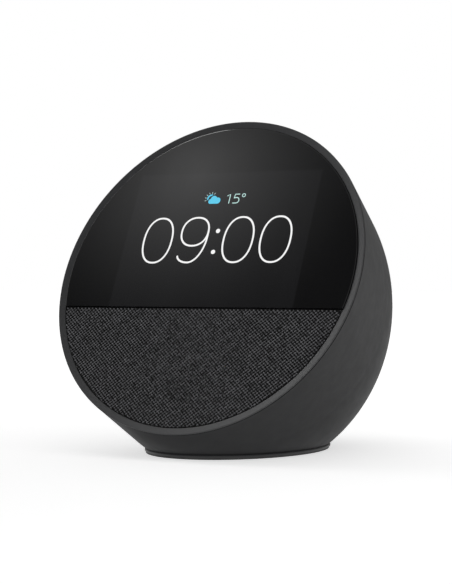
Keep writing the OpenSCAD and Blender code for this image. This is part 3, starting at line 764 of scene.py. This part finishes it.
def shell_skin():
    """The housing as one moulding: outer form, cavity with its screw posts, and every opening."""
    grid = shell_grid()
    shell = body_solid("shell_skin", grid, 0, SKIRT_Z, 0)
    cavity = body_solid("cavity", grid, WALL, SKIRT_Z - MM, 3 * MM)
    turned = [FACE @ Matrix.Rotation(math.radians(a), 4, "Z") for a in BAFFLE_BOSSES]
    posts = [rod(place, (BAFFLE_BOSS_R, 0), BOSS_R, BOSS_DEEP, BAFFLE_BACK) for place in turned]
    posts += [rod(GROUND, post, BOSS_R, PLUG_TOP, POST_TOP) for post in BASE_POSTS]
    posts += [rod(KEYS, (x, 0), KEY_POST_R, SWITCH_BASE, 5 * MM) for x in KEY_POSTS]
    posts.append(rod(PORT, (0, 0), PORT_BOSS_R, PORT_BOSS_DEEP, CLEAR))
    outer = BAFFLE_BOSS_R + RIB_REACH
    ribs = [
        block(place, (BAFFLE_BOSS_R, -RIB_HALF, BOSS_DEEP), (outer, RIB_HALF, BAFFLE_BACK - MM))
        for place in turned
    ]
    for post in BASE_POSTS:
        reach = math.copysign(RIB_REACH, post.x)
        low = (min(0, reach), -RIB_HALF, PLUG_TOP)
        high = (max(0, reach), RIB_HALF, POST_TOP - 0.5 * MM)
        ribs.append(block(Matrix.Translation((post.x, post.y, 0)), low, high))
    cut(cavity, solid("posts", *posts))
    cut(cavity, solid("ribs", *ribs))
    cut(shell, cavity)
    seat_r, tail_r = SKIRT_R + SEAT_GAP, SKIRT_TAIL_R + SEAT_GAP
    bottom, step = RING_BACK - LENS_GAP, SKIRT_STEP - SEAT_GAP
    seat = [(0, bottom), (tail_r, bottom), (tail_r, step), (seat_r, step), (seat_r, CLEAR), (0, CLEAR)]
    holes = [lathe(seat, FACE, 192)]
    for x in (-KEY_PITCH, 0, KEY_PITCH):
        holes.append(rod(KEYS, (x, 0), KEY_R + KEY_GAP, KEY_HOLE_DEEP, CLEAR, 96))
    holes += [rod(KEYS, (x, 0), MIC_HOLE_R, KEY_HOLE_DEEP, CLEAR, 32) for x in MIC_HOLES]
    holes.append(rod(PORT, (0, 0), POCKET_R, POCKET_DEEP, CLEAR, 96))
    cut(shell, solid("openings", *holes))
    cut(shell, solid("port_hole", rod(PORT, (0, 0), BARREL_R, -9.5 * MM, MM, 96)))
    cut(shell, solid("collar", rod(PORT, (0, 0), COLLAR_R, -19 * MM, -9 * MM, 96)))
    pilots = [
        rod(place, (BAFFLE_BOSS_R, 0), PILOT_R, BOSS_DEEP + 8 * MM, 4 * MM, 24) for place in turned
    ]
    pilots += [rod(GROUND, post, PILOT_R, 0, POST_TOP - MM, 24) for post in BASE_POSTS]
    for x in KEY_POSTS:
        pilots.append(rod(KEYS, (x, 0), PILOT_R, SWITCH_BASE - MM, SWITCH_BASE + 4 * MM, 24))
    cut(shell, solid("pilots", *pilots))
    return place_piece(shade(shell, 32), "housing", "rear_shell")


BAND = 2.34 * MM
BAND_RISE = 0.16 * MM
BAND_DIP = 0.34 * MM
LEDGE_R = 52.6 * MM
LEDGE_W = -1.9 * MM


def bezel_ring():
    """The ring round the face: a band that slopes in towards the glass, and its skirt inside."""
    rim_r = RING_R - BAND
    fall = BAND_RISE + BAND_DIP
    corners = [
        (RING_R, -0.24 * MM, 0.06 * MM),
        (RING_R, BAND_RISE, 0.14 * MM),
        *((RING_R - share * BAND, BAND_RISE - share * fall, 0) for share in (0.12, 0.5, 0.9)),
        (rim_r, -BAND_DIP, 0.05 * MM),
        (rim_r, LEDGE_W, 0),
        (LEDGE_R, LEDGE_W, 0),
        (LEDGE_R, RING_BACK, 0.2 * MM),
        (SKIRT_TAIL_R, RING_BACK, 0.2 * MM),
        (SKIRT_TAIL_R, SKIRT_STEP, 0),
        (SKIRT_R, SKIRT_STEP, 0.1 * MM),
        (SKIRT_R, -0.5 * MM, 0),
    ]
    ring = solid("bezel_ring", lathe(rounded(corners, 5), FACE, 384), sharp=50)
    return place_piece(ring, "housing", "front_ring")


def lens():
    """Cover glass: a disc cut straight along the fabric, with a ground edge."""
    bevel = 0.22 * MM
    rows = []
    for inset, w in ((0, LENS_BACK), (0, -bevel), (0.3 * bevel, -0.3 * bevel), (bevel, 0)):
        radius = LENS_R - inset
        angle = math.degrees(math.asin((LENS_LINE + inset * 0.2) / radius))
        outline = arc((0, 0), (radius, radius), angle, 180 - angle, 192)
        rows.append([FACE @ Vector((x, y, w)) for x, y in outline])
    glass = solid("cover_glass", loft(rows), sharp=20)
    layer = glass.data.uv_layers.new(name="face")
    back = FACE.inverted()
    for loop in glass.data.loops:
        point = back @ glass.data.vertices[loop.vertex_index].co
        layer.data[loop.index].uv = (point.x, point.y)
    return place_piece(glass, "housing", "display_lens")


# --- The screen's picture, in millimetres on the face ---

DIGIT_MID = 12.05
DIGIT_HALF = (5.5, 8.25)
DIGIT_LINE = 0.62
SMALL_LINE = 0.29
ZERO_MIDS = (-21.95, 9.2, 23.2)
SUN = (-4.95, 27.45)
SUN_R = 1.55
SUN_HOLLOW = 0.98
SUN_FOOT = 26.95
SUN_GAP = 0.45
SUN_RAYS = (1.9, 2.35)
PUFFS = ((-4.85, 26.4, 0.9), (-3.8, 27.2, 1.25), (-2.3, 26.65, 1.15))


def on_screen(x, y, lift):
    return FACE @ Vector((x * MM, y * MM, lift * MM))


def drawn(lines, width, closed=False):
    return [ribbon(stroke(line, width, closed), on_screen, 0.005, 0.03, closed) for line in lines]


def screen_piece(name, forms, material):
    piece = solid(name, *forms)
    piece.data.materials.append(material)
    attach(piece, "housing")
    return piece


def clock():
    """Four thin round digits and a colon."""
    rings = [arc((x, DIGIT_MID), DIGIT_HALF, 0, 355, 71, 2.25) for x in ZERO_MIDS]
    bowl = arc((-8.0, 15.15), (5.15, 5.2), 0, 355, 71, 2.2)
    tail = [(-2.8, 15.4)] + arc((-8.4, 13.2), (5.6, 9.4), 0, -90, 18)
    tail += arc((-8.4, 6.4), (4.3, 2.6), -95, -172, 12)
    dots = [arc((0.8, y), (0.4, 0.4), 0, 330, 11) for y in (15.3, 7.6)]
    forms = drawn([*rings, bowl], DIGIT_LINE, True) + drawn([tail], DIGIT_LINE) + drawn(dots, 0.79, True)
    return screen_piece("screen_clock", forms, lit("lit_white", WHITE))


def temperature():
    """Two small digits and a degree sign."""
    one = [(1.3, 28.35), (2.3, 28.9), (2.3, 25.55)]
    bowl = arc((4.85, 26.6), (1.12, 1.02), 128, -90, 20, 2.3)
    five = [(5.8, 28.88), (4.2, 28.88), (4.0, 27.4), *bowl, (3.8, 25.58)]
    degree = arc((7.5, 28.4), (0.58, 0.58), 0, 345, 23)
    forms = drawn([one, five], SMALL_LINE) + drawn([degree], 0.24, True)
    return screen_piece("screen_temperature", forms, lit("lit_mint", PALE_MINT))


def cloud_top(x, gap=0.0):
    """Height of the cloud's outline, grown by a gap; 0 beside the cloud."""
    near = [(cx, y, r + gap) for cx, y, r in PUFFS if abs(x - cx) < r + gap]
    return max((y + math.sqrt(r ** 2 - (x - cx) ** 2) for cx, y, r in near), default=0)


def weather():
    """Cloud with a flat base, and the sun's crescent behind it with a thin gap between them."""
    base = PUFFS[0][1] - PUFFS[0][2]
    low, high = PUFFS[0][0] - PUFFS[0][2], PUFFS[-1][0] + PUFFS[-1][2]
    cloud = []
    for x in np.linspace(low + 0.02, high - 0.02, 60):
        ends = [(y, r * r - (x - cx) ** 2) for cx, y, r in (PUFFS[0], PUFFS[-1]) if abs(x - cx) < r]
        bottom = base if PUFFS[0][0] < x < PUFFS[-1][0] else ends[0][0] - math.sqrt(ends[0][1])
        cloud.append((Vector((x, cloud_top(x))), Vector((x, bottom))))
    crescent = []
    for x in np.linspace(SUN[0] - SUN_R + 0.03, SUN[0] + SUN_R, 40):
        aside = (x - SUN[0]) ** 2
        top = SUN[1] + math.sqrt(max(0, SUN_R ** 2 - aside))
        hollow = SUN[1] + math.sqrt(SUN_HOLLOW ** 2 - aside) if aside < SUN_HOLLOW ** 2 else 0
        bottom = max(SUN_FOOT, SUN[1] - math.sqrt(max(0, SUN_R ** 2 - aside)), hollow, cloud_top(x, SUN_GAP))
        if top - bottom < 0.06:
            break
        crescent.append((Vector((x, top)), Vector((x, bottom))))
    forms = [ribbon(rows, on_screen, 0.01, 0.04) for rows in (cloud, crescent)]
    return screen_piece("screen_weather", forms, lit("lit_blue", PALE_BLUE))


def sun_rays():
    """Short strokes round the upper left of the sun."""
    rays = [
        [(SUN[0] + r * math.cos(angle), SUN[1] + r * math.sin(angle)) for r in SUN_RAYS]
        for angle in np.radians(np.arange(60, 205, 28))
    ]
    return screen_piece("screen_sun_rays", drawn(rays, 0.2), lit("lit_ray", PALE_RAY))


# --- Grille cloth ---

THREAD_STEP = Vector((0.725, 0.625)) * MM
THREAD_HALF = Vector((0.205, 0.15)) * MM
THREAD_SWELL = 0.26
THREAD_WAVE = 0.09 * MM
THREAD_SWAY = 0.012 * MM
# Share of the tone given to painted light on thread crowns and painted shade where threads dip under.
CROWN_PAINTED_LIGHT = 0.62
TONE_SPREAD = 0.27
TUCK_DEPTH = 0.2 * MM
TUCK_WIDTH = 0.5 * MM
CLOTH_EDGE = 0.1 * MM
SIDES = 6
SAMPLES = 2


def threads(side):
    """One family of the bias weave: threads that pass over and under the other family."""
    random = np.random.default_rng(7 + side)
    step = Vector((THREAD_STEP.x * side, THREAD_STEP.y))
    other = Vector((-THREAD_STEP.x * side, THREAD_STEP.y))
    along = step.normalized()
    across = Vector((-along.y, along.x))
    radius = LENS_R - CLOTH_EDGE
    top = CLOTH_LINE - CLOTH_EDGE
    middle = sum(CLOTH_W) / 2
    points, faces, uvs, tones_and_painted_light = [], [], [], []
    reach = int(2 * radius / step.length)
    for n in range(-reach, reach):
        start = other * n
        tone = random.normal(0.5, 0.03)
        drift = random.uniform(0, TURN)
        inside = []
        for q in range(-reach * SAMPLES, reach * SAMPLES):
            m = q / SAMPLES
            p = start + step * m
            if p.length < radius and p.y < top:
                inside.append((m, p))
        if len(inside) < 2 * SAMPLES:
            continue
        first = len(points)
        for m, p in inside:
            rise = side * math.cos(math.pi * (m + n)) * THREAD_WAVE
            tuck = max(0, 1 - (top - p.y) / TUCK_WIDTH) ** 2 * TUCK_DEPTH
            wide = THREAD_HALF.x * (1 + THREAD_SWELL * math.cos(TURN * m) + random.normal(0, 0.05))
            sway = across * random.normal(0, THREAD_SWAY)
            # Tone: the thread's own dye, plus painted light where it passes over the other family and painted
            # shade where it dips under.
            dye_and_painted_light = tone + 0.04 * math.sin(m * 0.21 + drift) + CROWN_PAINTED_LIGHT * rise / THREAD_WAVE
            dye_and_painted_light += random.normal(0, TONE_SPREAD)
            for k in range(SIDES):
                a = TURN * (k + 0.5) / SIDES
                flat = p + sway + across * wide * math.cos(a)
                w = middle + rise + THREAD_HALF.y * math.sin(a) - tuck
                points.append(FACE @ Vector((flat.x, flat.y, w)))
                uvs.append((m * step.length / MM, k / SIDES))
                tones_and_painted_light.append(dye_and_painted_light)
        for row in range(first, len(points) - SIDES, SIDES):
            for k in range(SIDES):
                beside = (k + 1) % SIDES
                faces.append([row + k, row + beside, row + beside + SIDES, row + k + SIDES])
        faces.append([first + k for k in range(SIDES)][::-1])
        faces.append([len(points) - SIDES + k for k in range(SIDES)])
    return points, faces, uvs, tones_and_painted_light


def grille_cloth():
    """The woven grille cloth: two families of threads, with each thread's own tone and length; the tone holds
    painted light on the crowns and painted shade in the dips.
    """
    families = [threads(side) for side in (1, -1)]
    cloth = solid("grille_cloth", *[family[:2] for family in families], sharp=80)
    tones_and_painted_light = np.array(families[0][3] + families[1][3], np.float32)
    cloth.data.attributes.new("tone", "FLOAT", "POINT").data.foreach_set("value", tones_and_painted_light)
    lengths = np.array(families[0][2] + families[1][2], np.float32)
    corners = np.empty(len(cloth.data.loops), int)
    cloth.data.loops.foreach_get("vertex_index", corners)
    cloth.data.uv_layers.new(name="thread").data.foreach_set("uv", lengths[corners].ravel())
    place_piece(cloth, "housing", "grille_fabric")


# --- Buttons ---

KEY_DOME = 46 * MM
KEY_NECK = 5.9 * MM
KEY_STEM_R = 1.6 * MM
MARK_LIFT = 0.09
MARKS = {
    "volume_up": (0.5, [[(-1.6, 0), (1.6, 0)], [(0, -1.6), (0, 1.6)]]),
    "volume_down": (0.5, [[(-1.6, 0), (1.6, 0)]]),
    "mute": (0.42, [arc((0, 0), (1.75, 1.75), 0, 352, 44), [(-1.2, 1.2), (1.2, -1.2)]]),
}


def egg_out(point):
    """Outward direction square to the egg at a point of it."""
    d = point - EGG_MID
    return Vector([d[i] / EGG_HALF[i] ** 2 for i in range(3)]).normalized()


def button(name, x):
    """Button cap domed to the housing, with its moulded mark, flange and stem."""
    base = egg_hit(KEYS @ Vector((x, 0, -6 * MM)), KEY_OUT)
    ball = base + egg_out(base) * (KEY_RISE - KEY_DOME)
    key = KEYS.inverted()
    ball_here = key @ ball
    drop = (key @ base).z

    def top(px, py):
        return ball_here.z + math.sqrt(KEY_DOME ** 2 - (px - ball_here.x) ** 2 - (py - ball_here.y) ** 2)

    soft = 0.3 * MM
    profile = [(KEY_R * t, None, 0) for t in (0, 0.12, 0.25, 0.4, 0.55, 0.7, 0.82)]
    for a in np.radians((0, 20, 40, 60, 80, 90)):
        profile.append((KEY_R - soft + soft * math.sin(a), None, soft * (1 - math.cos(a))))
    neck = drop - KEY_NECK
    stem = span(f"{name}_button", KEY_OUT)[0] - KEYS.translation.dot(KEY_OUT)
    flange_r = KEY_R + KEY_FLANGE
    profile += [(r, h, 0) for r, h in (
        (KEY_R, neck + 0.2 * MM), (flange_r, neck + 0.2 * MM), (flange_r, neck - MM),
        (KEY_STEM_R, neck - MM), (KEY_STEM_R, stem), (0, stem),
    )]
    rows = []
    for r, h, sink in profile:
        row = []
        for a in turns_of(96):
            px, py = x + r * math.cos(a), r * math.sin(a)
            row.append(KEYS @ Vector((px, py, top(px, py) - sink if h is None else h)))
        rows.append(row)
    forms = [loft(rows, caps=False)]

    def on_cap(px, py, lift):
        px, py = px * MM + x, py * MM
        return KEYS @ Vector((px, py, top(px, py) + lift * MM))

    width, lines = MARKS[name]
    forms += [ribbon(stroke(line, width), on_cap, -0.1, MARK_LIFT) for line in lines]
    cap = solid(f"{name}_cap", *forms)
    marks = []
    for vertex in cap.data.vertices:
        p = key @ vertex.co
        on_top = math.hypot(p.x - x, p.y) < KEY_R - soft
        marks.append(float(on_top and p.z > top(p.x, p.y) + 0.02 * MM))
    cap.data.attributes.new("mark", "FLOAT", "POINT").data.foreach_set("value", marks)
    return place_piece(cap, f"{name}_key", f"{name}_button")


# --- Base ---

LIP = 0.22 * MM
LIP_TOP = 1.42 * MM
SEAM_DEEP = 0.26 * MM
PLUG_INSET = (4.6 * MM, 5.4 * MM)


def oval(half, inset, z):
    """Level oval, drawn in by an inset."""
    x, y = half[0] - inset, half[1] - inset
    return [Vector((x * math.cos(a), y * math.sin(a), z)) for a in turns_of(160)]


def base_cover():
    """Base plate with a rounded lip, its plug into the housing and its screw holes."""
    low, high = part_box("base_plate")
    half = (high.x, high.y)
    rows = [oval(half, 0.95 * MM, low.z), oval(half, 0.25 * MM, low.z)]
    for a in np.radians((20, 50, 90)):
        rows.append(oval(half, LIP * (1 - math.sin(a)) * 0.6, low.z + LIP * (1 - math.cos(a))))
    for a in np.radians((10, 40, 70, 90)):
        rows.append(oval(half, LIP * (1 - math.cos(a)), LIP_TOP - LIP * (1 - math.sin(a))))
    rows += [oval(half, SEAM_DEEP, z) for z in (LIP_TOP, SKIRT_Z)]
    rows += [oval((half[0] - PLUG_INSET[0], half[1] - PLUG_INSET[1]), 0, z) for z in (SKIRT_Z, high.z)]
    plate = solid("base_cover", loft(rows), sharp=40)
    for name, radius, height in (("through", 1.2 * MM, 6 * MM), ("heads", 2.4 * MM, 2.1 * MM)):
        cut(plate, solid(name, *[rod(GROUND, post, radius, -MM, height, 32) for post in BASE_POSTS]))
    return place_piece(shade(plate, 40), "housing", "base_plate")


def foot():
    """Rubber foot pad with a soft lower edge."""
    low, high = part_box("foot_pad")
    half = (high.x, high.y)
    soft = 0.25 * MM
    rows = []
    for a in np.radians((0, 25, 50, 90)):
        rows.append(oval(half, soft * (1 - math.sin(a)), low.z + soft * (1 - math.cos(a))))
    rows.append(oval(half, 0, high.z))
    return place_piece(solid("foot_rubber", loft(rows), sharp=50), "housing", "foot_pad")


shell_skin()
bezel_ring()
lens()
clock()
temperature()
weather()
sun_rays()
grille_cloth()
for key, x in (("volume_up", -KEY_PITCH), ("mute", 0), ("volume_down", KEY_PITCH)):
    button(key, x)
base_cover()
foot()

for node, obj in NODES.items():
    obj.data.materials.clear()
    obj.data.materials.append(FINISHES[SLOT_OF[node]])


# --- Floor, lights and camera ---

CAMERA_AZIMUTH = math.radians(30)
CAMERA_HEIGHT = math.radians(0.275)
CAMERA_AWAY = 593.2 * MM
CAMERA_TARGET = Vector((0, 0, 55)) * MM
CAMERA_LENS = 108.08
CAMERA_SHIFT = (-0.0223, -0.0092)
FLOOR_SIDE = 6
FLOOR_WHITE = 0.9
FLOOR_GLOW = 0.6
STUDIO_LIGHT = 0.98
STUDIO_DIM = 0.36
DIM_WAY = (0.78, 0.25, 0.5)
CARD_AWAY = 0.4
CARD_STEPS = 8
CARD_LOW = (-180 * MM, -170 * MM)
CARD_HIGH = (110 * MM, 170 * MM)
CARD_DARK = 0.07
CARD_GLOW = 1.5
GLOW_AT = (-14 * MM, 38 * MM)
GLOW_HALF = (76 * MM, 68 * MM)
KEY_LIGHT_WAY = (-0.73, 0.0, 0.68)
KEY_LIGHT_AWAY = 0.9
KEY_LIGHT_SIZE = 0.5
KEY_LIGHT_POWER = 4.4


def stage():
    """A pale floor that runs out to meet the pale surroundings."""
    s = FLOOR_SIDE
    mesh = bpy.data.meshes.new("floor")
    mesh.from_pydata([(-s, -s, 0), (s, -s, 0), (s, s, 0), (-s, s, 0)], [], [(0, 1, 2, 3)])
    floor = linked("floor", mesh)
    material = bpy.data.materials.new("floor")
    material.use_nodes = True
    sockets = {
        "Base Color": (*[FLOOR_WHITE] * 3, 1),
        "Roughness": 0.9,
        "Specular IOR Level": 0.1,
        "Emission Color": (*WHITE, 1),
        "Emission Strength": FLOOR_GLOW,
    }
    for socket, value in sockets.items():
        material.node_tree.nodes["Principled BSDF"].inputs[socket].default_value = value
    floor.data.materials.append(material)
    return floor


def mirrored(x, y):
    """Where the camera's sight goes after the cover glass mirrors it, at the card's distance."""
    point = FACE @ Vector((x, y, 0))
    sight = (point - bpy.context.scene.camera.location).normalized()
    way = sight - FACE_OUT * 2 * sight.dot(FACE_OUT)
    return point + way * CARD_AWAY


def graded_card():
    """Dark studio card with a soft glow on it, which the cover glass mirrors."""
    count = CARD_STEPS + 1
    xs, ys = (np.linspace(CARD_LOW[i], CARD_HIGH[i], count) for i in (0, 1))
    mesh = bpy.data.meshes.new("graded_card")
    corners = [k * count + i for k in range(CARD_STEPS) for i in range(CARD_STEPS)]
    quads = [(c, c + 1, c + count + 1, c + count) for c in corners]
    mesh.from_pydata([mirrored(x, y) for y in ys for x in xs], [], quads)
    layer = mesh.uv_layers.new(name="glass")
    for loop in mesh.loops:
        k, i = divmod(loop.vertex_index, count)
        u, v = (xs[i] - GLOW_AT[0]) / GLOW_HALF[0], (ys[k] - GLOW_AT[1]) / GLOW_HALF[1]
        layer.data[loop.index].uv = (u, v)
    card = linked("graded_card", mesh)
    material = bpy.data.materials.new("graded_card")
    material.use_nodes = True
    tree = material.node_tree
    place = add_node(tree, "ShaderNodeUVMap", uv_map="glass").outputs["UV"]
    fade = add_node(tree, "ShaderNodeTexGradient", {"Vector": place}, gradient_type="QUADRATIC_SPHERE")
    levels = {"Value": fade.outputs["Fac"], "To Min": CARD_DARK, "To Max": CARD_GLOW}
    level = add_node(tree, "ShaderNodeMapRange", levels).outputs[0]
    light = add_node(tree, "ShaderNodeEmission", {"Strength": level}).outputs[0]
    tree.links.new(light, tree.nodes["Material Output"].inputs["Surface"])
    card.data.materials.append(material)
    card.visible_camera = False


def surroundings():
    """Studio light from all round, dimmer on one side, seen by the camera as plain white."""
    world = bpy.data.worlds.new("studio")
    world.use_nodes = True
    tree = world.node_tree
    place = add_node(tree, "ShaderNodeTexCoord").outputs["Generated"]
    side = add_node(tree, "ShaderNodeVectorMath", {0: place, 1: DIM_WAY}, operation="DOT_PRODUCT")
    levels = {"Value": side.outputs["Value"], "From Min": -1, "To Min": STUDIO_LIGHT, "To Max": STUDIO_DIM}
    level = add_node(tree, "ShaderNodeMapRange", levels).outputs[0]
    light = tree.nodes["Background"]
    light.inputs["Color"].default_value = (*WHITE, 1)
    tree.links.new(level, light.inputs["Strength"])
    seen = add_node(tree, "ShaderNodeBackground", {"Color": (*WHITE, 1), "Strength": 1.0})
    direct = add_node(tree, "ShaderNodeLightPath").outputs["Is Camera Ray"]
    shaders = {0: direct, 1: light.outputs[0], 2: seen.outputs[0]}
    either = add_node(tree, "ShaderNodeMixShader", shaders).outputs[0]
    tree.links.new(either, tree.nodes["World Output"].inputs["Surface"])
    bpy.context.scene.world = world
    bpy.context.scene.view_settings.view_transform = "Standard"


def key_light(floor):
    """Softbox high on the left, for the ring's lower right and the threads, but not the floor."""
    data = bpy.data.lights.new("key_light", "AREA")
    data.size = KEY_LIGHT_SIZE
    data.energy = KEY_LIGHT_POWER
    light = linked("key_light", data)
    way = Vector(KEY_LIGHT_WAY).normalized()
    light.location = FACE_O + way * KEY_LIGHT_AWAY
    light.rotation_mode = "QUATERNION"
    light.rotation_quaternion = way.to_track_quat("Z", "Y")
    unlit = bpy.data.collections.new("unlit_by_key")
    unlit.objects.link(floor)
    unlit.collection_objects[0].light_linking.link_state = "EXCLUDE"
    light.light_linking.receiver_collection = unlit


def camera():
    """The photograph's camera."""
    data = bpy.data.cameras.new("camera")
    data.lens = CAMERA_LENS
    data.sensor_width = 36
    data.sensor_fit = "AUTO"
    data.shift_x, data.shift_y = CAMERA_SHIFT
    data.clip_start = 0.01
    cam = linked("camera", data)
    a, e = CAMERA_AZIMUTH, CAMERA_HEIGHT
    back = Vector((math.sin(a) * math.cos(e), -math.cos(a) * math.cos(e), math.sin(e)))
    cam.location = CAMERA_TARGET + back * CAMERA_AWAY
    cam.rotation_mode = "QUATERNION"
    cam.rotation_quaternion = (-back).to_track_quat("-Z", "Y")
    bpy.context.scene.camera = cam


key_light(stage())
surroundings()
camera()
graded_card()
